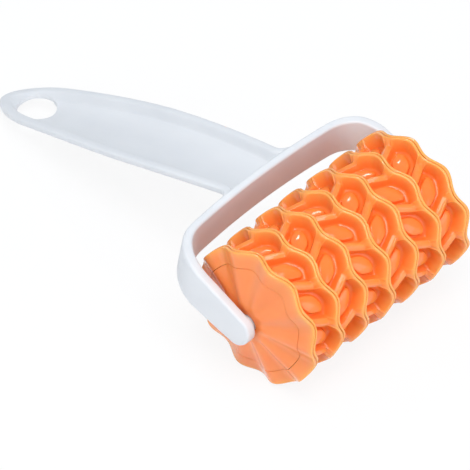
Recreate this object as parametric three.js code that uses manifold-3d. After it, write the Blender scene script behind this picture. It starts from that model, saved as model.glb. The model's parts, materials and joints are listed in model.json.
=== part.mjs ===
// Pastry roller with a honeycomb pattern: a one-piece fork with a handle, and a roller that
// spins on the fork's two stub pins. Millimetres. X is the roller's axis, +Y runs back to the
// handle's tip, +Z is up. The roller's crests and the handle's tip rest on the plane z = 0.

import * as THREE from 'three';
import { mergeVertices } from 'three/addons/utils/BufferGeometryUtils.js';
import Module from 'manifold-3d';

const wasm = await Module();
wasm.setup();

// Driving dimensions

// Roller
const crestRadius = 25;            // over the wavy ridges
const ribDrop = 1.3;               // from the crests down to the slanting ribs, at mid span
const pocketDepth = 4.8;           // from the crests down to a pocket's floor
const bossHeight = 2.3;            // over the pocket's floor
const ringWall = 1.8;              // under the pocket's floor
const ridgePitch = 12.1;           // from one wavy ridge to the next
const ringCount = 6;
const ridgeWidth = 2.2;            // a ridge is made of two ring edges side by side
const ribWidth = 1.6;
const waveCount = 10;              // waves, ribs and pockets in one turn
const waveDepth = 1.2;             // sideways swing of a ridge at its crest
const pocketDraft = 0.9;           // how far a pocket narrows down to its floor
const bossWidth = 6.4;             // across the ring, at the boss's foot
const bossLength = 9.4;            // round the ring, at the boss's foot
const bossDraft = 0.9;
const crestRounding = 0.35;        // fall of the crest towards the pocket's lip
const clearance = 0.3;             // between pieces that seat in or against each other

// Roller ends
const faceApexReach = 6.3;         // from the last ridge out to the fluted face's apex
const faceSlope = 0.2125;          // fall of that face for each millimetre of radius
const endRingWidth = 5.4;          // from the crests in to the seam round the cap
const hubRadius = 6.5;
const hubLength = 8.2;
const discThickness = 2.4;         // cap's disc inside its spigot, behind the cone's rim
const spigotLength = 7;
const wallThickness = 2;           // core tube and cap spigot

// Fork
const axialPlay = 0.78;            // between a cap's hub and the collar beside it
const armThickness = 3.3;
const collarRadius = 4.4;          // round shoulder on the arm, behind the stub pin
const collarHeight = 0.6;
const crossbarThickness = 2.6;
const crossbarGap = 6.4;           // from the crests back to the crossbar's inner face
const crossbarBowRadius = 300;
const innerCornerRadius = 13.4;
const outerCornerRadius = 15.6;
const tongueRadius = 5;            // round end of an arm, about the axis
const crossbarTop = 16.6;          // heights here are over the roller's axis
const crossbarBottom = 3.9;
const armSlopeTop = 24.3;          // degrees
const flatTopShare = 0.86;         // of the crossbar's reach, where the arms' slopes end
const topBendShare = 0.62;         // of that reach, where the upper slope starts to bend
const topBendDrop = 1;             // fall of the bend's control point under the crossbar's top
const undersideBendShare = 0.5;
const undersideSagShare = 0.1;     // of the tongue's radius, for the underside's control point
const forkDepth = 17;              // more than the height of the fork's wall anywhere
const outerDraft = 9;              // degrees, of the wall's outer face
const innerDraft = 1;
const pinRadius = 3;
const pinLength = 7.9;
const pinChamfer = 0.6;

// Handle
const handleTipReach = 151.3;      // from the axis back to the tip
const handleRootHeight = 16.4;     // its top edge where it leaves the crossbar
const handleTipLift = 0.3;         // the tip's rim over the table
const handleArchRadius = 670;
const handleRootWidth = 26.4;
const handleWaistWidth = 30;       // at its widest
const handleEndWidth = 16.5;       // of the taper at the tip, before the tip is rounded
const taperPower = 1.5;
const handleWidestReach = 86;      // from the axis back to the widest section
const tipLength = 23;              // rounded part of the tip
const tipRoundness = 2.25;         // power of the rounding along the tip
const rootFilletRadius = 4.5;
const rimThickness = 2.5;
const rimLand = 1.4;               // flat on top of the rim
const rimEdge = 0.6;               // rounding of the rim's outer edge
const trayBankWidth = 3.6;         // slope from the rim down to the tray's floor
const trayDepth = 3;
const trayRootDepth = 3.4;         // the tray is deeper beside the crossbar
const trayRootRun = 26;
const trayCrown = 1.2;             // further fall to the middle of the tray
const trayTipFade = 20;            // from the tip, over which the tray falls to its depth
const trayTipShare = 0.05;         // of its depth, left at the tip
const trayThickness = 1;
const holeLength = 14.6;
const holeWidth = 11.6;
const holeTipDistance = 17;        // from the tip to the hole's middle
const edgeShare = 0.3;             // most of the half width that the rim's rounding,
const landShare = 0.6;             // its flat top
const bankShare = 0.85;            // and the tray's slope reach in from the side
const cutOverrun = 5;              // how far cutting bodies reach past what they cut
const weldDistance = 0.02;         // facets and points closer than this are made one

// Facets
const wavePoints = 8;              // round the crest, in one wave
const boreColumns = 40;
const pinColumns = 24;

// Derived values

const degree = Math.PI / 180;
const crestColumns = waveCount * wavePoints;
const cellAngle = 2 * Math.PI / waveCount;
const quarterWave = cellAngle / 4;
const rollerTurn = -Math.PI / crestColumns;
const axisHeight = crestRadius * Math.cos(rollerTurn);
const axisSetback = (handleTipReach - crestRadius) / 2;
const patternHalfLength = ringCount * ridgePitch / 2;
const ribTopRadius = crestRadius - ribDrop;
const pocketFloorRadius = crestRadius - pocketDepth;
const bossTopRadius = pocketFloorRadius + bossHeight;
const ringBoreRadius = pocketFloorRadius - ringWall;
const ridgeHalf = ridgeWidth / 2;
const faceApexHalf = patternHalfLength + faceApexReach;
const hubFaceHalf = faceApexHalf - faceSlope * hubRadius;
const capSeamRadius = crestRadius - endRingWidth;
const capRadius = capSeamRadius - clearance;
const coreRadius = ringBoreRadius - clearance;
const coreBoreRadius = coreRadius - wallThickness;
const spigotRadius = coreBoreRadius - clearance;
const pinBoreRadius = pinRadius + clearance;
const armInnerHalf = hubFaceHalf + axialPlay + collarHeight;
const armOuterHalf = armInnerHalf + armThickness;
const crossbarReach = crestRadius + crossbarGap;
const crossbarOuterReach = crossbarReach + crossbarThickness;

// Finishes

const orangePlastic = (tint) => new THREE.MeshStandardMaterial({
  color: tint, roughness: 0.28, metalness: 0,
});
const orangeTints = [0xff7a2c, 0xff7426];
const capTint = 0xff8038;
const coreTint = 0xf06a1e;
const whitePlastic = new THREE.MeshStandardMaterial({
  color: 0xe4e9ef, roughness: 0.42, metalness: 0,
});

// Closed bodies from loops of points

// A loop is a closed run of points, each with the angle that orders it round the loop.
class Shell {
  constructor() {
    this.positions = [];
  }

  addTriangle(a, b, c) {
    for (const point of [a, b, c]) {
      this.positions.push(point.x, point.y, point.z);
    }
  }

  // Fills the band between two loops, which may have different numbers of points. Each step
  // takes the edge whose middle comes first, so that facing bands get the same facets.
  stitch(loopA, loopB) {
    const entry = (loop, k) => loop[k % loop.length];
    const angleAt = (loop, k) => entry(loop, k).angle + (k >= loop.length ? 2 * Math.PI : 0);
    const edgeMiddle = (loop, k) => (angleAt(loop, k) + angleAt(loop, k + 1)) / 2;
    let i = 0;
    let j = 0;
    while (i < loopA.length || j < loopB.length) {
      const pointA = entry(loopA, i).point;
      const pointB = entry(loopB, j).point;
      const takeA = j >= loopB.length
        || (i < loopA.length && edgeMiddle(loopA, i) <= edgeMiddle(loopB, j));
      if (takeA) {
        this.addTriangle(pointA, entry(loopA, i + 1).point, pointB);
        i += 1;
      } else {
        this.addTriangle(pointA, entry(loopB, j + 1).point, pointB);
        j += 1;
      }
    }
  }

  // Closes the inside of a loop with a fan round a middle point.
  fan(middle, loop) {
    loop.forEach((entry, k) => {
      this.addTriangle(middle, loop[(k + 1) % loop.length].point, entry.point);
    });
  }

  geometry() {
    const loose = new THREE.BufferGeometry();
    loose.setAttribute('position', new THREE.Float32BufferAttribute(this.positions, 3));
    return mergeVertices(loose, weldDistance / 1000);
  }
}

const onRoller = (x, radius, turn) => new THREE.Vector3(
  x, radius * Math.cos(turn), radius * Math.sin(turn),
);

// Evenly spaced loop round the roller's axis; x may follow a wave.
function axisLoop(columns, radius, xAt) {
  return Array.from({ length: columns }, (_, k) => {
    const angle = 2 * Math.PI * k / columns;
    return { angle, point: onRoller(xAt(angle), radius, angle) };
  });
}

// A body of revolution whose loops may swing with the waves. The loops run along the outside
// towards +X and back along the bore, and the last joins the first.
function revolvedBody(loops) {
  const shell = new Shell();
  loops.forEach((loop, k) => shell.stitch(loop, loops[(k + 1) % loops.length]));
  return shell.geometry();
}

// Ridges

// Ridge k of 0 to ringCount. Odd and even ridges swing a quarter of a wave apart.
const ridgeMiddle = (k) => k * ridgePitch - patternHalfLength;

function ridgeSwing(k, turn) {
  return k % 2 === 0 ? -Math.cos(waveCount * turn) : Math.sin(waveCount * turn);
}

// The seam face between two rings is flat at their bore and waves fully at the crest.
function seamX(k, turn, radius) {
  const share = (radius - ringBoreRadius) / (crestRadius - ringBoreRadius);
  return ridgeMiddle(k) + share * waveDepth * ridgeSwing(k, turn);
}

// Pattern rings: the part's most skilled feature. Each ring closes ten pockets between two
// wavy ridges and ten ribs, which lean one way on odd rings and the other way on even ones,
// and an egg-shaped boss stands in each pocket.

function patternRing(k) {
  const leftSeam = (turn, radius) => seamX(k, turn, radius) + clearance / 2;
  const rightSeam = (turn, radius) => seamX(k + 1, turn, radius) - clearance / 2;
  const leansForward = k % 2 === 0;
  const lean = leansForward ? quarterWave : -quarterWave;
  const firstRib = leansForward ? 2 * quarterWave : quarterWave;

  // A pocket's own coordinates: u runs from the left ridge to the right, v from rib to rib.
  const turnAt = (pocket, u, v) => firstRib + lean * u + cellAngle * (pocket + v);
  const place = (pocket, u, v, radius) => {
    const turn = turnAt(pocket, u, v);
    const left = leftSeam(turn, crestRadius);
    const right = rightSeam(turn, crestRadius);
    return onRoller(left + (right - left) * u, radius, turn);
  };
  // The tops of the ribs dip between the ridges.
  const topRadius = (u, fall) => crestRadius - fall
    - (crestRadius - ribTopRadius) * Math.sin(Math.PI * u) ** 2;

  const ridgeShare = ridgeHalf / ridgePitch;
  const ribShare = ribWidth / 2 / (cellAngle * ribTopRadius);
  const ovalLoop = (pocket, points, halfU, halfV, squareness, radiusAt) => {
    const power = (value) => Math.sign(value) * Math.abs(value) ** (2 / squareness);
    return Array.from({ length: points }, (_, i) => {
      const angle = 2 * Math.PI * (i + 0.5) / points;
      const u = 0.5 + halfU * power(Math.cos(angle));
      const v = 0.5 + halfV * power(Math.sin(angle));
      return { angle, point: place(pocket, u, v, radiusAt(u)) };
    });
  };
  // Outer border of a pocket's patch: along both ridges, and over the crowns of both ribs.
  const borderLoop = (pocket) => {
    const corners = [];
    const step = 1 / wavePoints;
    for (let v = 0.5; v < 1; v += step) corners.push([1, v]);
    corners.push([1, 1], [0.5, 1]);
    for (let v = 1; v > 0; v -= step) corners.push([0, v]);
    corners.push([0, 0], [0.5, 0], [1, 0]);
    for (let v = step; v < 0.5; v += step) corners.push([1, v]);
    return corners.map(([u, v]) => {
      const angle = Math.atan2(v - 0.5, u - 0.5);
      return {
        angle: angle < 0 ? angle + 2 * Math.PI : angle,
        point: place(pocket, u, v, topRadius(u, 0)),
      };
    });
  };

  const lip = { u: 0.5 - ridgeShare, v: 0.5 - ribShare };
  const floor = {
    u: lip.u - pocketDraft / ridgePitch,
    v: lip.v - pocketDraft / (cellAngle * pocketFloorRadius),
  };
  const foot = {
    u: bossWidth / 2 / ridgePitch,
    v: bossLength / 2 / (cellAngle * pocketFloorRadius),
  };
  const crown = {
    u: foot.u - bossDraft / ridgePitch,
    v: foot.v - bossDraft / (cellAngle * pocketFloorRadius),
  };
  const lipPoints = 16;
  const bossPoints = 12;
  const lipSquareness = 3.2;
  const bossSquareness = 2.2;

  const shell = new Shell();
  for (let pocket = 0; pocket < waveCount; pocket += 1) {
    const bossTop = ovalLoop(pocket, bossPoints, crown.u, crown.v, bossSquareness,
      () => bossTopRadius);
    const bossFoot = ovalLoop(pocket, bossPoints, foot.u, foot.v, bossSquareness,
      () => pocketFloorRadius);
    const floorEdge = ovalLoop(pocket, lipPoints, floor.u, floor.v, lipSquareness,
      () => pocketFloorRadius);
    const lipEdge = ovalLoop(pocket, lipPoints, lip.u, lip.v, lipSquareness,
      (u) => topRadius(u, crestRounding));
    shell.fan(place(pocket, 0.5, 0.5, bossTopRadius), bossTop);
    shell.stitch(bossTop, bossFoot);
    shell.stitch(bossFoot, floorEdge);
    shell.stitch(floorEdge, lipEdge);
    shell.stitch(lipEdge, borderLoop(pocket));
  }
  const leftCrest = axisLoop(crestColumns, crestRadius, (turn) => leftSeam(turn, crestRadius));
  const rightCrest = axisLoop(crestColumns, crestRadius, (turn) => rightSeam(turn, crestRadius));
  const leftBore = axisLoop(boreColumns, ringBoreRadius, (turn) => leftSeam(turn, ringBoreRadius));
  const rightBore = axisLoop(boreColumns, ringBoreRadius, (turn) => rightSeam(turn, ringBoreRadius));
  shell.stitch(rightCrest, rightBore);
  shell.stitch(rightBore, leftBore);
  shell.stitch(leftBore, leftCrest);
  return shell.geometry();
}

// Roller ends, drawn for the -X end and turned round for the other

// The fluted face: a shallow cone whose flutes deepen evenly from the axis to the crest.
const faceX = (turn, radius) => -(faceApexHalf - faceSlope * radius)
  + waveDepth * radius / crestRadius * ridgeSwing(0, turn);

function endRing() {
  const seam = (turn, radius) => seamX(0, turn, radius) - clearance / 2;
  const ridgeEdge = (turn) => seam(turn, crestRadius) - ridgeHalf;
  const lipRadius = crestRadius - crestRounding;
  return revolvedBody([
    axisLoop(crestColumns, capSeamRadius, (turn) => faceX(turn, capSeamRadius)),
    axisLoop(crestColumns, lipRadius, ridgeEdge),
    axisLoop(crestColumns, crestRadius, (turn) => seam(turn, crestRadius)),
    axisLoop(boreColumns, capSeamRadius, (turn) => seam(turn, capSeamRadius)),
  ]);
}

function endCap() {
  const hubFace = -hubFaceHalf;
  const rimSwing = waveDepth * (capRadius - ringBoreRadius) / (crestRadius - ringBoreRadius);
  const discBack = -patternHalfLength - rimSwing - clearance / 2;
  const innerBack = hubFace + discThickness + faceSlope * (spigotRadius - hubRadius) / 2;
  const spigotEnd = discBack + spigotLength;
  const spigotBore = spigotRadius - wallThickness;
  const flat = (x) => () => x;
  return revolvedBody([
    axisLoop(boreColumns / 2, pinBoreRadius, flat(hubFace)),
    axisLoop(boreColumns, hubRadius, flat(hubFace)),
    axisLoop(crestColumns, capRadius, (turn) => faceX(turn, capRadius)),
    axisLoop(boreColumns, capRadius, flat(discBack)),
    axisLoop(boreColumns, spigotRadius, flat(discBack)),
    axisLoop(boreColumns, spigotRadius, flat(spigotEnd)),
    axisLoop(boreColumns, spigotBore, flat(spigotEnd)),
    axisLoop(boreColumns, spigotBore, flat(innerBack)),
    axisLoop(boreColumns / 2, hubRadius, flat(innerBack)),
    axisLoop(boreColumns / 2, hubRadius, flat(hubFace + hubLength)),
    axisLoop(boreColumns / 2, pinBoreRadius, flat(hubFace + hubLength)),
  ]);
}

function coreTube() {
  const halfLength = patternHalfLength;
  const outer = coreRadius;
  const profile = [
    new THREE.Vector2(outer, -halfLength),
    new THREE.Vector2(outer, halfLength),
    new THREE.Vector2(coreBoreRadius, halfLength),
    new THREE.Vector2(coreBoreRadius, -halfLength),
    new THREE.Vector2(outer, -halfLength),
  ];
  const tube = new THREE.LatheGeometry(profile, boreColumns);
  return tube.rotateZ(-Math.PI / 2);
}

// Solids that are joined and cut

function toSolid(geometry) {
  const bare = geometry.clone();
  bare.deleteAttribute('normal');
  bare.deleteAttribute('uv');
  const merged = mergeVertices(bare, weldDistance / 1000);
  return new wasm.Manifold(new wasm.Mesh({
    numProp: 3,
    vertProperties: new Float32Array(merged.attributes.position.array),
    triVerts: new Uint32Array(merged.index.array),
  }));
}

function toGeometry(solid) {
  const mesh = solid.getMesh();
  const geometry = new THREE.BufferGeometry();
  geometry.setAttribute('position', new THREE.BufferAttribute(mesh.vertProperties, 3));
  geometry.setIndex(new THREE.BufferAttribute(mesh.triVerts, 1));
  return geometry;
}

// Fork, drawn about the roller's axis

// A bowed crossbar between two round corners and two straight arms, seen from above. Returns
// the run from the +X arm to the -X arm.
function forkRun(halfSpan, reach, bowRadius, cornerRadius, segments) {
  const bowCentre = reach - bowRadius;
  const cornerX = halfSpan - cornerRadius;
  const cornerY = bowCentre + Math.sqrt((bowRadius - cornerRadius) ** 2 - cornerX ** 2);
  const meet = Math.atan2(cornerY - bowCentre, cornerX);
  const path = new THREE.Path();
  path.moveTo(halfSpan, -tongueRadius - cutOverrun);
  path.lineTo(halfSpan, cornerY);
  path.absarc(cornerX, cornerY, cornerRadius, 0, meet, false);
  path.absarc(0, bowCentre, bowRadius, meet, Math.PI - meet, false);
  path.absarc(-cornerX, cornerY, cornerRadius, Math.PI - meet, Math.PI, false);
  path.lineTo(-halfSpan, -tongueRadius - cutOverrun);
  return path.getPoints(segments);
}

// Height of the plane that the fork's upper edge lies in.
const forkPlane = (reach) => tongueRadius / Math.cos(armSlopeTop * degree)
  + reach * Math.tan(armSlopeTop * degree);

// The fork's wall, open below and above: it leans outwards as it goes down from its upper edge.
function forkBand() {
  const cornerSegments = 8;
  const planAt = (rise) => {
    const outset = -rise * Math.tan(outerDraft * degree);
    const inset = -rise * Math.tan(innerDraft * degree);
    const outer = forkRun(armOuterHalf + outset, crossbarOuterReach + outset,
      crossbarBowRadius + crossbarThickness + outset, outerCornerRadius + outset, cornerSegments);
    const inner = forkRun(armInnerHalf + inset, crossbarReach + inset,
      crossbarBowRadius + inset, innerCornerRadius + inset, cornerSegments);
    return [...outer, ...inner.reverse()];
  };
  const levels = [-forkDepth, cutOverrun].map((rise) => planAt(rise).map(
    (point) => new THREE.Vector3(point.x, point.y, forkPlane(point.y) + rise),
  ));
  const [lower, upper] = levels;
  const shell = new Shell();
  lower.forEach((corner, k) => {
    const next = (k + 1) % lower.length;
    shell.addTriangle(corner, lower[next], upper[next]);
    shell.addTriangle(corner, upper[next], upper[k]);
  });
  const plan = upper.map((corner) => new THREE.Vector2(corner.x, corner.y));
  for (const [i, j, k] of THREE.ShapeUtils.triangulateShape(plan, [])) {
    shell.addTriangle(upper[i], upper[j], upper[k]);
    shell.addTriangle(lower[k], lower[j], lower[i]);
  }
  return toSolid(shell.geometry());
}

// Side view of the fork: a round tongue about the axis, then arms that deepen to the crossbar.
function forkSide() {
  const slope = armSlopeTop * degree;
  const backReach = crossbarOuterReach + cutOverrun;
  const undersideAngle = Math.atan2(crossbarBottom + tongueRadius, crossbarReach);
  const flatReach = crossbarReach * flatTopShare;
  const bendReach = crossbarReach * topBendShare;
  const side = new THREE.Shape();
  side.absarc(0, 0, tongueRadius, slope + Math.PI / 2,
    2 * Math.PI - Math.PI / 2 + undersideAngle / 2, false);
  side.quadraticCurveTo(crossbarReach * undersideBendShare, -tongueRadius * undersideSagShare,
    flatReach, crossbarBottom - (crossbarReach - flatReach) * Math.tan(undersideAngle) / 2);
  side.lineTo(backReach, crossbarBottom + (backReach - crossbarReach) * Math.tan(undersideAngle) / 2);
  side.lineTo(backReach, crossbarTop);
  side.lineTo(flatReach, crossbarTop);
  side.quadraticCurveTo((flatReach + bendReach) / 2, crossbarTop - topBendDrop,
    bendReach, forkPlane(bendReach));
  const width = 2 * (armOuterHalf + cutOverrun);
  const block = new THREE.ExtrudeGeometry(side, {
    depth: width, bevelEnabled: false, curveSegments: 12,
  });
  block.translate(0, 0, -width / 2);
  block.rotateY(Math.PI / 2);
  block.rotateX(Math.PI / 2);
  return toSolid(block);
}

function stubPin(side) {
  const start = armInnerHalf + armThickness / 2;
  const collar = armInnerHalf - collarHeight;
  const end = armInnerHalf - pinLength;
  const profile = [
    new THREE.Vector2(0, end),
    new THREE.Vector2(pinRadius - pinChamfer, end),
    new THREE.Vector2(pinRadius, end + pinChamfer),
    new THREE.Vector2(pinRadius, collar),
    new THREE.Vector2(collarRadius, collar),
    new THREE.Vector2(collarRadius, start),
    new THREE.Vector2(0, start),
  ];
  const pin = new THREE.LatheGeometry(profile, pinColumns);
  return toSolid(pin.rotateZ(-side * Math.PI / 2));
}

// Handle: sections set square to an arched line along the top of its rim

// The arch's chord runs from the crossbar down to the tip, which just clears the table.
const chordRun = handleTipReach - crossbarOuterReach;
const chordFall = handleRootHeight + axisHeight - handleTipLift - rimThickness;
const halfArc = Math.asin(Math.hypot(chordRun, chordFall) / 2 / handleArchRadius);
const archStart = Math.atan2(chordFall, chordRun) - halfArc;
const handleLength = 2 * halfArc * handleArchRadius;
const widestRun = handleWidestReach - crossbarOuterReach;
const neckRun = handleLength - tipLength;
const lastTipShare = 0.99;         // the last section stands just short of the tip

// A point of the handle: x across, run along the arch from the crossbar, height over the rim.
function onHandle(x, run, height) {
  const angle = archStart + run / handleArchRadius;
  const radius = handleArchRadius + height;
  return new THREE.Vector3(
    x,
    crossbarOuterReach + radius * Math.sin(angle) - handleArchRadius * Math.sin(archStart),
    handleRootHeight + radius * Math.cos(angle) - handleArchRadius * Math.cos(archStart),
  );
}

const easeInOut = (share) => THREE.MathUtils.smoothstep(share, 0, 1);

function handleHalfWidth(run) {
  if (run > widestRun) {
    const share = (run - widestRun) / (handleLength - widestRun);
    const taper = THREE.MathUtils.lerp(handleWaistWidth, handleEndWidth, share ** taperPower);
    const tipShare = Math.max(0, 1 - (handleLength - run) / tipLength);
    return taper / 2 * Math.sqrt(1 - tipShare ** tipRoundness);
  }
  const share = 1 - Math.max(run, 0) / widestRun;
  const body = THREE.MathUtils.lerp(handleWaistWidth, handleRootWidth, share * share) / 2;
  const intoFillet = Math.max(0, rootFilletRadius - Math.max(run, 0));
  const flare = rootFilletRadius - Math.sqrt(rootFilletRadius ** 2 - intoFillet ** 2);
  return body + flare;
}

// Height of the tray's floor under the rim, at its bank's foot.
function trayFall(run) {
  const root = 1 - easeInOut(run / trayRootRun);
  const tip = easeInOut((handleLength - run) / trayTipFade);
  return THREE.MathUtils.lerp(trayTipShare, 1, tip)
    * THREE.MathUtils.lerp(trayDepth, trayRootDepth, root);
}

function handleSection(run) {
  const half = handleHalfWidth(run);
  const fall = trayFall(run);
  const crownFall = fall + trayCrown * Math.min(1, fall / trayDepth);
  const land = Math.min(rimEdge + rimLand, half * landShare);
  const bank = Math.min(land + trayBankWidth, half * bankShare);
  const edge = Math.min(rimEdge, half * edgeShare);
  const halfOutline = [
    [half - land, 0],
    [half - edge, 0],
    [half, -edge],
    [half, -rimThickness + edge],
    [half - edge, -rimThickness],
  ];
  const right = [
    [0, -crownFall],
    [half - bank, -fall],
    ...halfOutline,
    [half - bank, -fall - trayThickness],
  ];
  const left = right.slice(1).reverse().map(([x, height]) => [-x, height]);
  const outline = [...right, [0, -crownFall - trayThickness], ...left];
  return outline.map(([x, height], k) => ({ angle: k, point: onHandle(x, run, height) }));
}

function handleBody() {
  const runs = [-crossbarThickness / 2];
  const filletSteps = 4;
  for (let k = 0; k <= filletSteps; k += 1) {
    runs.push(rootFilletRadius * (1 - Math.cos(Math.PI / 2 * k / filletSteps)));
  }
  const bodySteps = 12;
  for (let k = 1; k <= bodySteps; k += 1) {
    runs.push(rootFilletRadius + (neckRun - rootFilletRadius) * k / bodySteps);
  }
  const tipSteps = 10;
  for (let k = 1; k <= tipSteps; k += 1) {
    runs.push(neckRun + tipLength * Math.sin(Math.PI / 2 * lastTipShare * k / tipSteps));
  }
  const shell = new Shell();
  const sections = runs.map(handleSection);
  sections.slice(1).forEach((section, k) => {
    const before = sections[k];
    section.forEach((entry, i) => {
      const next = (i + 1) % section.length;
      shell.addTriangle(before[i].point, before[next].point, entry.point);
      shell.addTriangle(before[next].point, section[next].point, entry.point);
    });
  });
  const capEnd = (section, outward) => {
    const count = section.length;
    for (let i = 0; i + 1 < count / 2; i += 1) {
      const quad = [i, i + 1, (count - i - 1) % count, (count - i) % count];
      const [a, b, c, d] = quad.map((k) => section[k].point);
      const faces = i === 0 ? [[a, b, c]] : [[a, b, c], [a, c, d]];
      faces.forEach((face) => shell.addTriangle(...(outward ? face : face.reverse())));
    }
    const half = count / 2;
    const last = [half - 1, half, half + 1].map((k) => section[k].point);
    shell.addTriangle(...(outward ? last : last.reverse()));
  };
  capEnd(sections[0], false);
  capEnd(sections[sections.length - 1], true);
  return toSolid(shell.geometry());
}

function hangHole() {
  const run = handleLength - holeTipDistance;
  const oval = new THREE.Shape();
  oval.absellipse(0, 0, holeWidth / 2, holeLength / 2, 0, 2 * Math.PI, false);
  const depth = 2 * (rimThickness + cutOverrun);
  const cutter = new THREE.ExtrudeGeometry(oval, {
    depth, bevelEnabled: false, curveSegments: 12,
  });
  cutter.translate(0, 0, -depth / 2);
  cutter.rotateX(-archStart - run / handleArchRadius);
  const middle = onHandle(0, run, 0);
  cutter.translate(middle.x, middle.y, middle.z);
  return toSolid(cutter);
}

function forkAndHandle() {
  const solid = forkBand()
    .intersect(forkSide())
    .add(handleBody())
    .subtract(hangHole())
    .add(stubPin(-1))
    .add(stubPin(1));
  return toGeometry(solid.simplify(weldDistance));
}

// Assembly

function namedMesh(name, geometry, material) {
  const mesh = new THREE.Mesh(geometry, material);
  mesh.name = name;
  return mesh;
}

const roller = new THREE.Group();
roller.rotation.x = rollerTurn;
roller.add(namedMesh('core_tube', coreTube(), orangePlastic(coreTint)));
for (let k = 0; k < ringCount; k += 1) {
  const material = orangePlastic(orangeTints[k % orangeTints.length]);
  roller.add(namedMesh(`pattern_ring_${k + 1}`, patternRing(k), material));
}
// Turned end for end, an end piece also turns half a wave to follow its ridge.
for (const [side, halfTurns] of [['left', 0], ['right', 1]]) {
  const ring = namedMesh(`end_ring_${side}`, endRing(), orangePlastic(orangeTints[0]));
  const cap = namedMesh(`end_cap_${side}`, endCap(), orangePlastic(capTint));
  for (const piece of [ring, cap]) {
    piece.rotation.set(halfTurns * cellAngle / 2, 0, halfTurns * Math.PI);
    roller.add(piece);
  }
}

const pastryRoller = new THREE.Group();
pastryRoller.position.set(0, -axisSetback, axisHeight);
pastryRoller.add(roller);
pastryRoller.add(namedMesh('fork_and_handle', forkAndHandle(), whitePlastic));

export default pastryRoller;
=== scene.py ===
"""Pastry roller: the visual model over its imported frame, with its studio and its camera."""

import json
import logging
import math
from collections.abc import Sequence
from dataclasses import dataclass, fields
from enum import Enum

import bmesh
import bpy
from mathutils import Euler, Matrix, Vector


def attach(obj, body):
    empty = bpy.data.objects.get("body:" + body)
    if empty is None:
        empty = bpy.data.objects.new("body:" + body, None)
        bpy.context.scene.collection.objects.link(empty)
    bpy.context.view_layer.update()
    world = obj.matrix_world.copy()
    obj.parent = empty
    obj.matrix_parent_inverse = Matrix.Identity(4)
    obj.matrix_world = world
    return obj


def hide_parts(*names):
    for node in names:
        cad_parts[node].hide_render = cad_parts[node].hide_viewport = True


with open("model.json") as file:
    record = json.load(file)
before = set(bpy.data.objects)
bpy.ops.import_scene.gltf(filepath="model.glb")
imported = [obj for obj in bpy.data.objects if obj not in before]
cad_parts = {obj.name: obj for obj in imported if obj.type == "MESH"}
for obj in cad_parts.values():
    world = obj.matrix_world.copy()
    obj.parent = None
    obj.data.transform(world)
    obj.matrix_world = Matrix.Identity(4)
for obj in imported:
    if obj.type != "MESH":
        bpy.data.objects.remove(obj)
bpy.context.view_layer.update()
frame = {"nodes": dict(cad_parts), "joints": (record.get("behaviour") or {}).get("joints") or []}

log = logging.getLogger("pastry_roller")

MM = 0.001
WELD = 2e-6
SHARP_ANGLE = math.radians(38)
ROLLER_TURN = -math.pi / 80


class Side(Enum):
    """The roller's two ends."""

    LEFT = "left"
    RIGHT = "right"

    @property
    def sign(self) -> int:
        """The side's direction along X."""
        return -1 if self is Side.LEFT else 1


class RibLean(Enum):
    """Which way a ring's ribs lean, and where the first one's middle is, in shares of a cell."""

    FORWARD = (0.366, 0.61)
    BACKWARD = (-0.366, 0.152)


def as_mesh(name: str, points: Sequence[Vector], faces: Sequence[Sequence[int]]) -> bpy.types.Mesh:
    """Makes a closed mesh whose faces point outwards.

    Args:
        name: Name of the mesh.
        points: Corner points in metres.
        faces: Corner numbers of each face.

    Returns:
        The mesh, with doubles merged.
    """
    mesh = bpy.data.meshes.new(name)
    mesh.from_pydata([tuple(point) for point in points], [], [tuple(face) for face in faces])
    close_up(mesh)
    return mesh


def row_faces(rows: int, columns: int, closed: bool = True) -> list[tuple[int, ...]]:
    """Faces between rows of points.

    Args:
        rows: How many rows there are.
        columns: Points of each row.
        closed: Whether each row's last point joins its first.

    Returns:
        Corner numbers of each face.
    """
    return [
        (row * columns + k, row * columns + (k + 1) % columns,
         (row + 1) * columns + (k + 1) % columns, (row + 1) * columns + k)
        for row in range(rows - 1) for k in range(columns if closed else columns - 1)
    ]


def quarter_turn(steps: int) -> list[float]:
    """Angles from 0 to a quarter turn, in even steps."""
    return [math.pi / 2 * k / steps for k in range(steps + 1)]


def whole_turn(columns: int) -> list[float]:
    """Angles of points that stand evenly round a circle."""
    return [2 * math.pi * k / columns for k in range(columns)]


def close_up(mesh: bpy.types.Mesh) -> None:
    """Merges doubles and turns all faces outwards.

    Args:
        mesh: The mesh to mend, in place.
    """
    work = bmesh.new()
    work.from_mesh(mesh)
    bmesh.ops.remove_doubles(work, verts=work.verts, dist=WELD)
    bmesh.ops.dissolve_degenerate(work, edges=work.edges, dist=WELD / 4)
    bmesh.ops.recalc_face_normals(work, faces=work.faces)
    if work.calc_volume(signed=True) < 0:
        bmesh.ops.reverse_faces(work, faces=work.faces)
    work.to_mesh(mesh)
    work.free()


def smooth_but_sharp(mesh: bpy.types.Mesh, angle: float = SHARP_ANGLE) -> None:
    """Shades a mesh smooth and keeps its real corners sharp.

    Args:
        mesh: The mesh to shade.
        angle: Edges that bend more than this stay sharp, in radians.
    """
    mesh.polygons.foreach_set("use_smooth", [True] * len(mesh.polygons))
    mesh.set_sharp_from_angle(angle=angle)
    mesh.update()


def put_in_scene(name: str, data: bpy.types.ID) -> bpy.types.Object:
    """Makes an object of a mesh, a lamp or a camera, and links it to the scene."""
    made = bpy.data.objects.new(name, data)
    bpy.context.scene.collection.objects.link(made)
    return made


def keep_result(piece: bpy.types.Object) -> None:
    """Turns what a piece's modifiers make into its own plain mesh."""
    ready = bpy.context.evaluated_depsgraph_get()
    made = bpy.data.meshes.new_from_object(piece.evaluated_get(ready), depsgraph=ready)
    piece.modifiers.clear()
    piece.data = made


def dress(mesh: bpy.types.Mesh, material: bpy.types.Material) -> None:
    """Gives a mesh one material."""
    mesh.materials.clear()
    mesh.materials.append(material)


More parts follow.
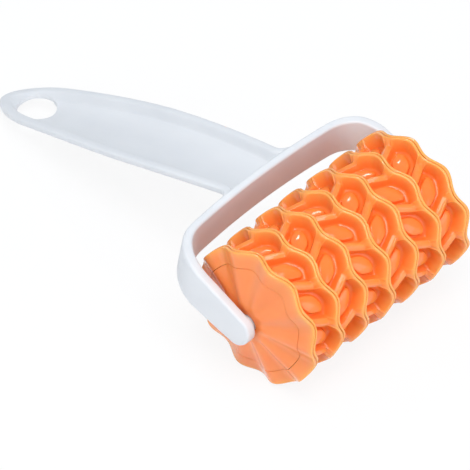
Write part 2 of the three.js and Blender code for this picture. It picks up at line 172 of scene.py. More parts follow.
def add_piece(name: str, mesh: bpy.types.Mesh, material: bpy.types.Material) -> bpy.types.Object:
    """Puts a finished mesh in the scene as a piece at the origin.

    Args:
        name: Name of the piece.
        mesh: Its mesh, already in place.
        material: Its finish.

    Returns:
        The new object.
    """
    dress(mesh, material)
    return put_in_scene(name, mesh)


def fit_to_frame(piece: bpy.types.Object, body: str, nodes: Sequence[str]) -> None:
    """Lets a piece ride on its body and stand for its CAD nodes.

    Args:
        piece: The finished piece.
        body: CAD body that it moves with.
        nodes: CAD nodes that it replaces.
    """
    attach(piece, body)
    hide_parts(*nodes)
    log.info("%s: %d faces", piece.name, len(piece.data.polygons))


# Arithmetic on node trees


class Field:
    """A number that a node tree works out at every point, written as plain arithmetic."""

    def __init__(self, sheet: "NodeSheet", socket: bpy.types.NodeSocket) -> None:
        """Keeps the socket that gives the number."""
        self.sheet = sheet
        self.socket = socket

    def __abs__(self) -> "Field":
        """Size without its sign."""
        return self.sheet.math("ABSOLUTE", self)


def give_operator(name: str, operation: str) -> None:
    """Lets fields stand on both sides of an arithmetic sign.

    Args:
        name: Python's name of the sign.
        operation: Blender's name of it.
    """
    setattr(Field, f"__{name}__", lambda field, other: field.sheet.math(operation, field, other))
    setattr(Field, f"__r{name}__", lambda field, other: field.sheet.math(operation, other, field))


for sign, meaning in (("add", "ADD"), ("sub", "SUBTRACT"), ("mul", "MULTIPLY"), ("truediv", "DIVIDE"),
                      ("pow", "POWER")):
    give_operator(sign, meaning)


class NodeWriter:
    """Adds nodes to a tree."""

    def __init__(self, tree: bpy.types.NodeTree) -> None:
        """Keeps the tree."""
        self.tree = tree

    def node(self, kind: str, inputs: dict[str | int, object] | None = None,
             **options: object) -> bpy.types.Node:
        """Adds a node.

        Args:
            kind: Blender's name for the node.
            inputs: Values, fields or sockets by the input's name or number.
            **options: Settings of the node itself.

        Returns:
            The new node.
        """
        made = self.tree.nodes.new(kind)
        for option, value in options.items():
            setattr(made, option, value)
        self.feed(made, inputs or {})
        return made

    def feed(self, node: bpy.types.Node, inputs: dict[str | int, object]) -> None:
        """Links fields and sockets to a node's inputs, or writes plain values on them."""
        for name, value in inputs.items():
            if isinstance(value, Field):
                value = value.socket
            if isinstance(value, bpy.types.NodeSocket):
                self.tree.links.new(value, node.inputs[name])
            else:
                node.inputs[name].default_value = value


class NodeSheet(NodeWriter):
    """One Geometry Nodes tree with named inputs, and the arithmetic written on it."""

    def __init__(self, name: str, sizes: Sequence[str]) -> None:
        """Starts an empty tree.

        Args:
            name: Name of the tree.
            sizes: Names of its number inputs.
        """
        super().__init__(bpy.data.node_groups.new(name, "GeometryNodeTree"))
        sockets = self.tree.interface
        sockets.new_socket("Geometry", in_out="INPUT", socket_type="NodeSocketGeometry")
        self.identifiers = {
            size: sockets.new_socket(size, in_out="INPUT", socket_type="NodeSocketFloat").identifier
            for size in sizes
        }
        finish = sockets.new_socket("Finish", in_out="INPUT", socket_type="NodeSocketMaterial")
        self.identifiers["Finish"] = finish.identifier
        sockets.new_socket("Geometry", in_out="OUTPUT", socket_type="NodeSocketGeometry")
        self.entry = self.tree.nodes.new("NodeGroupInput")
        self.exit = self.tree.nodes.new("NodeGroupOutput")

    def size(self, name: str) -> Field:
        """The tree's input of that name, as a field."""
        return Field(self, self.entry.outputs[name])

    def math(self, operation: str, *values: "Field | float") -> Field:
        """Adds a math node.

        Args:
            operation: Blender's name for the operation.
            *values: What it works on.

        Returns:
            Its result.
        """
        made = self.node("ShaderNodeMath", dict(enumerate(values)), operation=operation)
        return Field(self, made.outputs[0])

    def clamp(self, value: Field) -> Field:
        """The value held between 0 and 1."""
        return self.math("MAXIMUM", self.math("MINIMUM", value, 1.0), 0.0)

    def mix(self, start: "Field | float", end: "Field | float", share: Field) -> Field:
        """The value a share of the way from start to end."""
        return start + (end - start) * share

    def grid(self, columns: int, rows: int) -> tuple[bpy.types.NodeSocket, Field, Field]:
        """Adds a grid of points to be bent into shape.

        Args:
            columns: Faces along its first direction.
            rows: Faces along its second.

        Returns:
            The grid's geometry, and each point's place along both directions, from 0 to 1.
        """
        made = self.node("GeometryNodeMeshGrid", {
            "Size X": 1.0, "Size Y": 1.0, "Vertices X": columns + 1, "Vertices Y": rows + 1,
        })
        place = self.node("ShaderNodeSeparateXYZ", {0: self.node("GeometryNodeInputPosition").outputs[0]})
        across, along = (Field(self, place.outputs[k]) + 0.5 for k in (0, 1))
        return made.outputs["Mesh"], across, along

    def bend(self, geometry: bpy.types.NodeSocket, x: Field, radius: Field,
             turn: Field) -> bpy.types.NodeSocket:
        """Moves points to their places about the roller's axis.

        Args:
            geometry: What to move.
            x: Place along the axis.
            radius: Distance from the axis.
            turn: Angle about the axis, from +Y towards +Z.

        Returns:
            The moved geometry.
        """
        y = radius * self.math("COSINE", turn)
        z = radius * self.math("SINE", turn)
        place = self.node("ShaderNodeCombineXYZ", {"X": x, "Y": y, "Z": z})
        moved = self.node("GeometryNodeSetPosition", {"Geometry": geometry, "Position": place.outputs[0]})
        return moved.outputs[0]

    def close(self, geometry: bpy.types.NodeSocket) -> None:
        """Ends the tree: real geometry, welded, shaded smooth, with its finish."""
        real = self.node("GeometryNodeRealizeInstances", {"Geometry": geometry})
        welded = self.node("GeometryNodeMergeByDistance", {"Geometry": real.outputs[0], "Distance": WELD})
        shaded = self.node("GeometryNodeSetShadeSmooth", {"Geometry": welded.outputs[0]})
        dressed = self.node("GeometryNodeSetMaterial", {
            "Geometry": shaded.outputs[0], "Material": self.entry.outputs["Finish"],
        })
        self.tree.links.new(dressed.outputs[0], self.exit.inputs[0])

    def make(self, name: str, start: bpy.types.Mesh, sizes: dict[str, float],
             finish: bpy.types.Material) -> bpy.types.Object:
        """Runs the tree once and keeps what it makes as a plain mesh.

        Args:
            name: Name of the piece.
            start: Mesh that the tree starts from.
            sizes: A value for each of the tree's number inputs.
            finish: The piece's material.

        Returns:
            The piece, without a modifier.
        """
        piece = put_in_scene(name, start)
        rule = piece.modifiers.new("rule", "NODES")
        rule.node_group = self.tree
        for size, value in sizes.items():
            rule[self.identifiers[size]] = float(value)
        rule[self.identifiers["Finish"]] = finish
        keep_result(piece)
        close_up(piece.data)
        return piece


# Finishes


class FinishNodes(NodeWriter):
    """A node material in the making."""

    def __init__(self, name: str) -> None:
        """Starts the material with its shader alone."""
        self.material = bpy.data.materials.new(name)
        self.material.use_nodes = True
        super().__init__(self.material.node_tree)
        self.shader = self.tree.nodes["Principled BSDF"]
        self.place = self.node("ShaderNodeTexCoord").outputs["Object"]

    def grain(self, size: float, detail: float = 2.0, stretch: tuple[float, float, float] = (1, 1, 1)
              ) -> bpy.types.NodeSocket:
        """Adds a noise of a real size.

        Args:
            size: Width of its features in metres.
            detail: How many finer layers it has.
            stretch: How much longer the features are along each axis.

        Returns:
            The noise, from 0 to 1.
        """
        scale = tuple(1 / (size * part) for part in stretch)
        mapped = self.node("ShaderNodeMapping", {"Vector": self.place, "Scale": scale})
        noise = self.node("ShaderNodeTexNoise", {
            "Vector": mapped.outputs[0], "Scale": 1.0, "Detail": detail, "Roughness": 0.5,
        })
        return noise.outputs["Fac"]

    def between(self, value: bpy.types.NodeSocket, low: float, high: float,
                start: float = 0.0, end: float = 1.0) -> bpy.types.NodeSocket:
        """Maps a range of values to another, and holds it there."""
        made = self.node("ShaderNodeMapRange", {
            "Value": value, "From Min": start, "From Max": end, "To Min": low, "To Max": high,
        })
        return made.outputs[0]

    def blend(self, share: bpy.types.NodeSocket, start: object, end: object) -> bpy.types.NodeSocket:
        """Mixes two colours, each a colour or a socket, by a share."""
        first, last = (
            value if isinstance(value, bpy.types.NodeSocket) else (*value, 1.0) for value in (start, end)
        )
        return self.node("ShaderNodeMix", {"Factor": share, 6: first, 7: last}, data_type="RGBA").outputs[2]

    def bumps(self, *layers: tuple[bpy.types.NodeSocket, float]) -> None:
        """Adds relief to the shader.

        Args:
            *layers: Each a height from 0 to 1, and how high that is in metres.
        """
        below: dict[str | int, object] = {}
        for height, depth in layers:
            made = self.node("ShaderNodeBump", {
                "Height": height, "Distance": depth, "Strength": 1.0, **below,
            })
            below = {"Normal": made.outputs[0]}
        self.feed(self.shader, below)


@dataclass(frozen=True)
class OrangePlastic:
    """Glossy, slightly translucent moulded plastic of the roller."""

    axis: tuple[float, float]
    name: str = "orange_plastic"
    # Colour at the pocket floors' radius and inwards: painted shade of the pockets and of the caps near
    # their hubs.
    deep: tuple[float, float, float] = (1.0, 0.21, 0.03)
    face: tuple[float, float, float] = (1.0, 0.34, 0.085)
    # Paler colour near the crests: painted light, standing in for light passing through the narrow crests
    # and for their highlights; the flow marks also fade towards it as real tone.
    edge: tuple[float, float, float] = (1.0, 0.41, 0.1)
    floor_radius: float = 19.5 * MM
    crest_radius: float = 25 * MM
    crest_light_power: float = 5.0

    def material(self) -> bpy.types.Material:
        """Builds the material: painted shade low in the pockets, painted light paler towards the narrow
        crests, with flow marks and a fine grain.
        """
        nodes = FinishNodes(self.name)
        centred = nodes.node("ShaderNodeMapping", {
            "Vector": nodes.place, "Location": (0, -self.axis[0], -self.axis[1]), "Scale": (0, 1, 1),
        })
        reach = nodes.node("ShaderNodeVectorMath", {0: centred.outputs[0]}, operation="LENGTH")
        rise = nodes.between(reach.outputs["Value"], 0, 1, self.floor_radius, self.crest_radius)
        cloud = nodes.grain(9 * MM, 3, (1.6, 1, 1))
        # Painted shade: the colour darkens and reddens from the crests down to the pocket floors.
        body = nodes.blend(rise, self.deep, self.face)
        # Painted light: paler close to the crests.
        crest_light_share = nodes.node("ShaderNodeMath", {0: rise, 1: self.crest_light_power}, operation="POWER")
        body = nodes.blend(crest_light_share.outputs[0], body, self.edge)
        share = nodes.between(cloud, 0.0, 0.12, 0.35, 0.7)
        body = nodes.blend(share, body, self.edge)
        nodes.feed(nodes.shader, {
            "Base Color": body, "Roughness": nodes.between(nodes.grain(1.1 * MM, 3), 0.09, 0.15, 0.3, 0.7),
            "IOR": 1.5, "Subsurface Weight": 0.45, "Subsurface Radius": (1.0, 0.35, 0.12),
            "Subsurface Scale": 1.8 * MM,
        })
        nodes.bumps((nodes.grain(5 * MM, 1), 0.00008), (nodes.grain(0.25 * MM, 2), 0.000004))
        return nodes.material


@dataclass(frozen=True)
class WhitePlastic:
    """Satin white plastic of the fork and its handle, with faint flow marks."""

    name: str = "white_plastic"
    body: tuple[float, float, float] = (0.71, 0.72, 0.74)
    pale: tuple[float, float, float] = (0.75, 0.757, 0.772)

    def material(self) -> bpy.types.Material:
        """Builds the material: soft clouds along the handle, and a fine satin grain."""
        nodes = FinishNodes(self.name)
        cloud = nodes.grain(14 * MM, 3, (0.8, 2.5, 0.8))
        share = nodes.between(cloud, 0.0, 1.0, 0.3, 0.7)
        body = nodes.blend(share, self.body, self.pale)
        nodes.feed(nodes.shader, {
            "Base Color": body, "Roughness": nodes.between(nodes.grain(2 * MM, 3), 0.34, 0.46, 0.3, 0.7),
            "IOR": 1.49, "Subsurface Weight": 0.12, "Subsurface Radius": (1.0, 0.9, 0.8),
            "Subsurface Scale": 1 * MM,
        })
        nodes.bumps((nodes.grain(9 * MM, 2), 0.00006), (nodes.grain(0.3 * MM, 2), 0.000005))
        return nodes.material


# Roller


@dataclass(frozen=True)
class Relief:
    """Sizes of the roller's wavy ridges, which its rings and its ends share."""

    crest_radius: float = 24.98 * MM
    bore_radius: float = 18.4 * MM
    ridge_pitch: float = 12.1 * MM
    ridge_half: float = 0.98 * MM
    ring_count: int = 6
    wave_count: int = 10
    wave_depth: float = 1.2 * MM
    seam_gap: float = 0.14 * MM
    seam_rounding: float = 0.4 * MM
    wall_rounding: float = 0.45 * MM

    @property
    def half_length(self) -> float:
        """From the roller's middle to its first and last ridge."""
        return self.ring_count * self.ridge_pitch / 2

    @property
    def cell(self) -> float:
        """Angle of one wave."""
        return 2 * math.pi / self.wave_count

    def seat(self, axis: Vector) -> Matrix:
        """Place and turn of the roller on its axis."""
        return Matrix.Translation(axis) @ Matrix.Rotation(ROLLER_TURN, 4, "X")


@dataclass(frozen=True)
class RowCounts:
    """Rows of points on each part of a pocket, from the boss's middle out to the ridges."""

    boss_top: int = 3
    boss_rounding: int = 4
    boss_side: int = 1
    boss_fillet: int = 3
    floor: int = 1
    wall_fillet: int = 5
    wall: int = 3
    wall_rounding: int = 4
    ridge_top: int = 7

    def starts(self) -> list[tuple[int, int]]:
        """First row and number of rows of each part, in order."""
        counts = [getattr(self, part.name) for part in fields(self)]
        return [(sum(counts[:k]), count) for k, count in enumerate(counts)]

    @property
    def total(self) -> int:
        """All rows."""
        return sum(count for _, count in self.starts())


class RingTree(NodeSheet):
    """The rule of one ring: pockets between two wavy ridges, the ring's sides and its bore."""

    CORNER_ZONE = 0.13
    LIP_SQUARENESS = 14.0
    FLOOR_SQUARENESS = 4.4
    BOSS_SQUARENESS = 4.0
    TOP_CROWDING = 1.6
    LINING_ROWS = 9

    def __init__(self, sizes: Sequence[str], rows: RowCounts, columns: int) -> None:
        """Writes the tree.

        Args:
            sizes: Names of its number inputs.
            rows: Rows of points over a pocket.
            columns: Points round it.
        """
        super().__init__("honeycomb_ring", sizes)
        self.rows = rows
        self.columns = columns
        self.cell = 2 * math.pi / self.size("Waves")
        both = self.node("GeometryNodeJoinGeometry")
        for part in (self.pocket(), self.lining()):
            self.tree.links.new(part, both.inputs[0])
        places = self.node("GeometryNodePoints", {"Count": self.size("Waves")})
        step = Field(self, self.node("GeometryNodeInputIndex").outputs[0]) * self.cell
        spin = self.node("ShaderNodeCombineXYZ", {"X": step})
        spread = self.node("GeometryNodeInstanceOnPoints", {
            "Points": places.outputs[0], "Instance": both.outputs[0], "Rotation": spin.outputs[0],
        })
        self.close(spread.outputs[0])

    def sides(self, turn: Field, share: "Field | float") -> tuple[Field, Field]:
        """Places of the ring's left and right side along the axis.

        Args:
            turn: Angle about the axis.
            share: How much of the waves' depth the sides have there.

        Returns:
            The left and the right place.
        """
        ridge = self.size("Left Ridge")
        places = []
        for phase, inward in (("Left Phase", 0.5), ("Right Phase", -0.5)):
            swing = self.math("COSINE", turn * self.size("Waves") + self.size(phase))
            places.append(ridge + swing * self.size("Wave Depth") * share + self.size("Seam Gap") * inward)
            ridge = ridge + self.size("Ridge Pitch")
        return places[0], places[1]

    def turn_at(self, u: Field, v: Field) -> Field:
        """Angle of a point of the first pocket, between its slanted ribs."""
        return self.size("First Rib") + self.size("Lean") * u + self.cell * v

    def crowded(self, place: Field) -> Field:
        """Gives half of a side's points, from -0.5 to 0.5, to the zones at its two corners."""
        middle = self.clamp(place * 2 + 0.5) / 2 - 0.25
        corner = 2 * self.CORNER_ZONE
        return middle * (2 - 2 * corner) + (place - middle) * (2 * corner)

    def border(self, start: Field) -> Field:
        """One coordinate of the pocket's square border, less its middle."""
        lap = self.math("FLOORED_MODULO", start, 4.0)
        return self.clamp(abs(lap - 2) - 0.5) - 0.5

    def course(self, fillet: Field, side: Field, rounding: Field, kind: str) -> Field:
        """How far a wall has come from its foot to its top, sideways.

        Args:
            fillet: Share of its foot's fillet passed.
            side: Share of its flat side passed.
            rounding: Share of its top's rounding passed.
            kind: Wall or Boss.

        Returns:
            The share of the wall's whole width.
        """
        sizes = [self.size(f"{kind} {part}") for part in ("Fillet", "Draft", "Rounding")]
        quarter = math.pi / 2
        way = self.math("SINE", fillet * quarter) * sizes[0] + side * sizes[1]
        way = way + (1 - self.math("COSINE", rounding * quarter)) * sizes[2]
        return way / (sizes[0] + sizes[1] + sizes[2])

    def climb(self, fillet: Field, side: Field, rounding: Field, kind: str, height: Field) -> Field:
        """How high a wall has come over its foot, with the same shares as its course."""
        foot = self.size(f"{kind} Fillet")
        top = self.size(f"{kind} Rounding")
        quarter = math.pi / 2
        rise = (1 - self.math("COSINE", fillet * quarter)) * foot + side * (height - foot - top)
        return rise + self.math("SINE", rounding * quarter) * top

    def top_at(self, u: Field, rib_reach: Field) -> Field:
        """Radius of the ridges' and ribs' tops.

        Args:
            u: Share of the way across the ring.
            rib_reach: Distance from the middle of the next rib.

        Returns:
            The radius. Ribs are lower than ridges, and crowned, with a fine groove along them.
        """
        near = self.math("MINIMUM", u, 1 - u) * self.size("Ridge Pitch")
        edge = self.size("Wall Rounding")
        share = self.clamp((near - self.size("Ridge Half") + edge) / (edge + self.size("Rib Run")))
        aside = self.math("MINIMUM", rib_reach / self.size("Rib Half"), 1.0)
        groove = self.clamp(1 - rib_reach / self.size("Rib Groove")) * self.size("Rib Groove")
        drop = self.size("Crest Radius") - self.size("Rib Top Radius")
        dip = share * share * (3 - 2 * share) * (drop + aside ** 1.5 * self.size("Rib Crown") + groove)
        rounding = self.size("Seam Rounding")
        inside = rounding - self.math("MINIMUM", near, rounding)
        fall = rounding - self.math("SQRT", self.math("MAXIMUM", rounding ** 2 - inside ** 2, 0.0))
        return self.size("Crest Radius") - dip - fall

    def pocket(self) -> bpy.types.NodeSocket:
        """Makes a pocket with its boss and the halves of its ridges and ribs.

        Returns:
            Its geometry. Columns run round it, rows from its boss out to the ridges and ribs.
        """
        patch, around, outward = self.grid(self.columns, self.rows.total)
        ahead = around * 4 + 0.5
        path = self.math("FLOOR", ahead) + self.crowded(self.math("FRACT", ahead) - 0.5)
        du = self.border(path)
        dv = self.border(path - 1)

        def oval(half_u: Field, half_v: Field, squareness: float) -> Field:
            """Share of the way to the border at which an oval lies."""
            sum_of_powers = (abs(du) / half_u) ** squareness + (abs(dv) / half_v) ** squareness
            return sum_of_powers ** (-1 / squareness)

        pitch = self.size("Ridge Pitch")
        arc_floor = self.cell * self.size("Floor Radius")
        arc_top = self.cell * self.size("Rib Top Radius")
        rib_share = self.size("Rib Wall Share")
        ridge = self.size("Ridge Half")
        rib = self.size("Rib Half")
        rounding = self.size("Wall Rounding")
        foot = self.size("Wall Draft") + self.size("Wall Fillet")
        lip = oval(0.5 - (ridge - rounding) / pitch, 0.5 - (rib - rounding * rib_share) / arc_top,
                   self.LIP_SQUARENESS)
        floor_edge = oval(0.5 - (ridge + foot) / pitch, 0.5 - (rib + foot * rib_share) / arc_floor,
                          self.FLOOR_SQUARENESS)
        wide = self.size("Boss Half Width")
        long = self.size("Boss Half Length")
        side = self.size("Boss Fillet") + self.size("Boss Draft") + self.size("Boss Rounding")
        boss_foot = oval(wide / pitch, long / arc_floor, self.BOSS_SQUARENESS)
        boss_top = oval((wide - side) / pitch, (long - side) / arc_floor, self.BOSS_SQUARENESS)

        row = outward * self.rows.total
        shares = [self.clamp((row - start) / count) for start, count in self.rows.starts()]
        on_boss, off_top, off_side, off_foot, on_floor, up_foot, up_side, up_top, on_ridge = shares
        boss_parts = (1 - off_foot, 1 - off_side, 1 - off_top)
        wall_parts = (up_foot, up_side, up_top)
        reach = boss_top * on_boss + (boss_foot - boss_top) * (1 - self.course(*boss_parts, "Boss"))
        reach = reach + (floor_edge - boss_foot) * on_floor
        on_top = 1 - (1 - on_ridge) ** self.TOP_CROWDING
        reach = reach + (lip - floor_edge) * self.course(*wall_parts, "Wall") + (1 - lip) * on_top
        u = du * reach + 0.5
        v = dv * reach + 0.5

        floor = self.size("Floor Radius")
        crown = self.size("Boss Top Radius") + self.size("Boss Dome") * (1 - on_boss ** 2)
        radius = floor + self.climb(*boss_parts, "Boss", crown - floor)
        top_reach = self.mix(lip, 1.0, on_top)
        top = self.top_at(du * top_reach + 0.5, (0.5 - abs(dv) * top_reach) * arc_top)
        radius = radius + self.climb(*wall_parts, "Wall", top - floor)
        turn = self.turn_at(u, v)
        left, right = self.sides(turn, 1.0)
        return self.bend(patch, self.mix(left, right, u), radius, turn)

    def lining(self) -> bpy.types.NodeSocket:
        """Makes the ring's sides and its bore, behind one pocket.

        Returns:
            Their geometry. Rows run down the left side, across the bore and up the right side.
        """
        strip, along, down = self.grid(self.columns // 4, self.LINING_ROWS)
        stage = down * 3
        across = self.clamp(stage - 1)
        height = self.clamp(abs(stage - 1.5) - 0.5)
        turn = self.turn_at(across, self.crowded(along - 0.5) + 0.5)
        left, right = self.sides(turn, height)
        lip = self.size("Crest Radius") - self.size("Seam Rounding")
        radius = self.mix(self.size("Bore Radius"), lip, height)
        return self.bend(strip, self.mix(left, right, across), radius, turn)


@dataclass
class PatternRings:
    """The six honeycomb rings, each made by one tree from its named sizes."""

    relief: Relief
    rib_top_radius: float = 22.7 * MM
    rib_half: float = 1.3 * MM
    rib_wall_share: float = 0.4
    rib_run: float = 1.2 * MM
    rib_crown: float = 0.75 * MM
    rib_groove: float = 0.13 * MM
    floor_radius: float = 19.45 * MM
    wall_fillet: float = 1.1 * MM
    wall_draft: float = 0.3 * MM
    boss_half_width: float = 3.4 * MM
    boss_half_length: float = 4.0 * MM
    boss_top_radius: float = 20.85 * MM
    boss_dome: float = 0.3 * MM
    boss_fillet: float = 0.4 * MM
    boss_draft: float = 0.2 * MM
    boss_rounding: float = 0.5 * MM
    columns: int = 128
    rows: RowCounts = RowCounts()

    def sizes(self, number: int) -> dict[str, float]:
        """The tree's inputs for one ring.

        Args:
            number: The ring's number, from 0 at the left end.

        Returns:
            A value for each named input.
        """
        relief = self.relief
        forward = number % 2 == 0
        lean = RibLean.FORWARD if forward else RibLean.BACKWARD
        slant, middle = (share * relief.cell for share in lean.value)
        phases = (math.pi, -math.pi / 2)
        sizes = {
            "Left Ridge": number * relief.ridge_pitch - relief.half_length,
            "Left Phase": phases[0 if forward else 1],
            "Right Phase": phases[1 if forward else 0],
            "First Rib": middle - slant / 2,
            "Lean": slant,
            "Waves": relief.wave_count,
        }
        for part in (relief, self):
            for field in fields(part):
                value = getattr(part, field.name)
                if isinstance(value, float):
                    sizes[field.name.replace("_", " ").title()] = value
        return sizes

    def build(self, axis: Vector, finish: bpy.types.Material) -> None:
        """Makes the rings and puts them on the roller.

        Args:
            axis: The roller's middle.
            finish: Their material.
        """
        rule = RingTree(list(self.sizes(0)), self.rows, self.columns)
        for number in range(self.relief.ring_count):
            start = bpy.data.meshes.new("ring_start")
            name = f"honeycomb_ring_{number + 1}"
            ring = rule.make(name, start, self.sizes(number), finish)
            ring.data.transform(self.relief.seat(axis))
            smooth_but_sharp(ring.data)
            fit_to_frame(ring, "roller", [f"pattern_ring_{number + 1}"])


@dataclass
class ProfilePoint:
    """A corner of a turned profile."""

    x: float                  # along the axis
    radius: float
    swing: float = 0.0        # share of the waves' depth
    rounding: float = 0.0

    def numbers(self) -> Vector:
        """All but the rounding, as one vector."""
        return Vector((self.x, self.radius, self.swing))


def rounded_profile(corners: Sequence[ProfilePoint], steps: int = 5) -> list[Vector]:
    """Rounds the corners of a closed profile.

    Args:
        corners: The profile's corners in order.
        steps: Parts of each rounding.

    Returns:
        Points of the profile, each as its corner's numbers.
    """
    points = []
    for k, corner in enumerate(corners):
        here, before, after = (
            other.numbers() for other in (corner, corners[k - 1], corners[(k + 1) % len(corners)])
        )
        if corner.rounding <= 0:
            points.append(here)
            continue
        ends = []
        for other in (before, after):
            way = other - here
            ends.append(here + way * min(0.45, corner.rounding / way.xy.length))
        for step in range(steps + 1):
            share = step / steps
            points.append(ends[0].lerp(here, share).lerp(here.lerp(ends[1], share), share))
    return points


class TurningTree(NodeSheet):
    """The rule of a turned piece whose face swings with the waves."""

    def __init__(self, rows: int, columns: int) -> None:
        """Writes the tree, which turns its start mesh, with a swing as each point's third number.

        Args:
            rows: Points of the profile.
            columns: Points round the piece.
        """
        super().__init__(f"fluted_turning_{rows}", ["Waves", "Wave Depth"])
        shape, around, along = self.grid(columns, rows)
        row = self.math("FLOORED_MODULO", self.math("ROUND", along * rows), float(rows))
        profile = self.node("GeometryNodeSampleIndex", {
            "Geometry": self.entry.outputs["Geometry"], "Index": row,
            "Value": self.node("GeometryNodeInputPosition").outputs[0],
        }, data_type="FLOAT_VECTOR")
        numbers = self.node("ShaderNodeSeparateXYZ", {0: profile.outputs[0]})
        x, radius, swing = (Field(self, output) for output in numbers.outputs)
        turn = around * (2 * math.pi)
        wave = self.math("COSINE", turn * self.size("Waves"))
        self.close(self.bend(shape, x - wave * swing * self.size("Wave Depth"), radius, turn))


@dataclass
class RollerEnds:
    """The wavy outer rings and the fluted caps at both ends."""

    relief: Relief
    face_apex: float = 42.6 * MM
    face_slope: float = 0.2125
    cap_radius: float = 19.53 * MM
    seam_radius: float = 19.67 * MM
    flute_fade: float = 1.25
    seam_edge: float = 0.12 * MM
    hub_radius: float = 6.5 * MM
    hub_length: float = 8.2 * MM
    pin_bore_radius: float = 3.3 * MM
    disc_thickness: float = 2.4 * MM
    spigot_radius: float = 15.8 * MM
    spigot_length: float = 7 * MM
    wall: float = 2 * MM
    columns: int = 320
    face_rows: int = 14
    piece_edge: float = 0.3 * MM
    cap_clearance: float = 0.15 * MM

    def face_point(self, radius: float, x: float) -> ProfilePoint:
        """A point of the fluted face, whose waves fade towards the hub."""
        return ProfilePoint(x, radius, (radius / self.relief.crest_radius) ** self.flute_fade)

    def face_at(self, radius: float) -> float:
        """Place of the fluted face's middle at a radius."""
        return -(self.face_apex - self.face_slope * radius)

    def ring_profile(self) -> list[ProfilePoint]:
        """Profile of the outer ring, for the left end."""
        relief = self.relief
        seam = -relief.half_length - relief.seam_gap / 2
        edge = seam - relief.ridge_half
        face = []
        for k in range(self.face_rows + 1):
            share = k / self.face_rows
            radius = self.seam_radius + (relief.crest_radius - self.seam_radius) * share
            face.append(self.face_point(radius, self.face_at(self.seam_radius) * (1 - share) + edge * share))
        face[0].rounding = self.seam_edge
        face[-1].rounding = relief.wall_rounding
        bore_share = (self.seam_radius - relief.bore_radius) / (relief.crest_radius - relief.bore_radius)
        return [
            *face,
            ProfilePoint(seam, relief.crest_radius, 1, relief.seam_rounding),
            ProfilePoint(seam, self.seam_radius, bore_share),
        ]

    def cap_profile(self) -> list[ProfilePoint]:
        """Profile of the cap, for the left end."""
        relief = self.relief
        hub_face = self.face_at(self.hub_radius)
        rim_share = (self.cap_radius - relief.bore_radius) / (relief.crest_radius - relief.bore_radius)
        disc_back = -relief.half_length - relief.wave_depth * rim_share - self.cap_clearance
        face_fall = self.face_slope * (self.spigot_radius - self.hub_radius)
        inner_back = hub_face + self.disc_thickness + face_fall / 2
        spigot_end = disc_back + self.spigot_length
        spigot_bore = self.spigot_radius - self.wall
        hub_end = hub_face + self.hub_length
        face = []
        for k in range(self.face_rows + 1):
            radius = self.hub_radius + (self.cap_radius - self.hub_radius) * k / self.face_rows
            face.append(self.face_point(radius, self.face_at(radius)))
        face[0].swing = 0.0
        face[-1].rounding = self.seam_edge
        edge = self.piece_edge
        return [
            ProfilePoint(hub_face, self.pin_bore_radius, rounding=edge),
            *face,
            ProfilePoint(disc_back, self.cap_radius),
            ProfilePoint(disc_back, self.spigot_radius),
            ProfilePoint(spigot_end, self.spigot_radius, rounding=edge),
            ProfilePoint(spigot_end, spigot_bore, rounding=edge),
            ProfilePoint(inner_back, spigot_bore),
            ProfilePoint(inner_back, self.hub_radius),
            ProfilePoint(hub_end, self.hub_radius, rounding=edge),
            ProfilePoint(hub_end, self.pin_bore_radius, rounding=edge),
        ]

    def turn_piece(self, name: str, corners: Sequence[ProfilePoint], side: Side, axis: Vector,
                   finish: bpy.types.Material) -> bpy.types.Object:
        """Turns one profile into a piece on its end of the roller.

        Args:
            name: Name of the piece.
            corners: Profile for the left end.
            side: The end it goes to.
            axis: The roller's middle.
            finish: Its material.

        Returns:
            The piece in place.
        """
        points = rounded_profile(corners)
        start = bpy.data.meshes.new("profile")
        start.from_pydata([tuple(point) for point in points], [], [])
        sizes = {"Waves": self.relief.wave_count, "Wave Depth": self.relief.wave_depth}
        piece = TurningTree(len(points), self.columns).make(name, start, sizes, finish)
        if side is Side.RIGHT:
            half_wave = Matrix.Rotation(self.relief.cell / 2, 4, "X")
            piece.data.transform(half_wave @ Matrix.Rotation(math.pi, 4, "Z"))
        piece.data.transform(self.relief.seat(axis))
        smooth_but_sharp(piece.data)
        return piece

    def build(self, axis: Vector, finish: bpy.types.Material) -> None:
        """Makes both ends.

        Args:
            axis: The roller's middle.
            finish: Their material.
        """
        for side in Side:
            ring = self.turn_piece(f"wavy_end_ring_{side.value}", self.ring_profile(), side, axis, finish)
            fit_to_frame(ring, "roller", [f"end_ring_{side.value}"])
            cap = self.turn_piece(f"fluted_cap_{side.value}", self.cap_profile(), side, axis, finish)
            fit_to_frame(cap, "roller", [f"end_cap_{side.value}"])


# Fork and handle


def eased(share: float) -> float:
    """A share from 0 to 1 that starts and ends gently."""
    share = min(max(share, 0.0), 1.0)
    return share * share * (3 - 2 * share)


def inset_loop(loop: Sequence[Vector], distance: float, closed: bool) -> list[Vector]:
    """Moves a flat loop inwards.

    Args:
        loop: Points of the loop, with its inside on the left.
        distance: How far it moves.
        closed: Whether its last point joins its first.

    Returns:
        The moved points.
    """
    count = len(loop)
    moved = []
    for k, point in enumerate(loop):
        before = loop[k - 1] if closed or k > 0 else loop[0]
        after = loop[(k + 1) % count] if closed or k + 1 < count else loop[-1]
        way = (after - before).normalized()
        moved.append(point + Vector((-way.y, way.x)) * distance)
    return moved


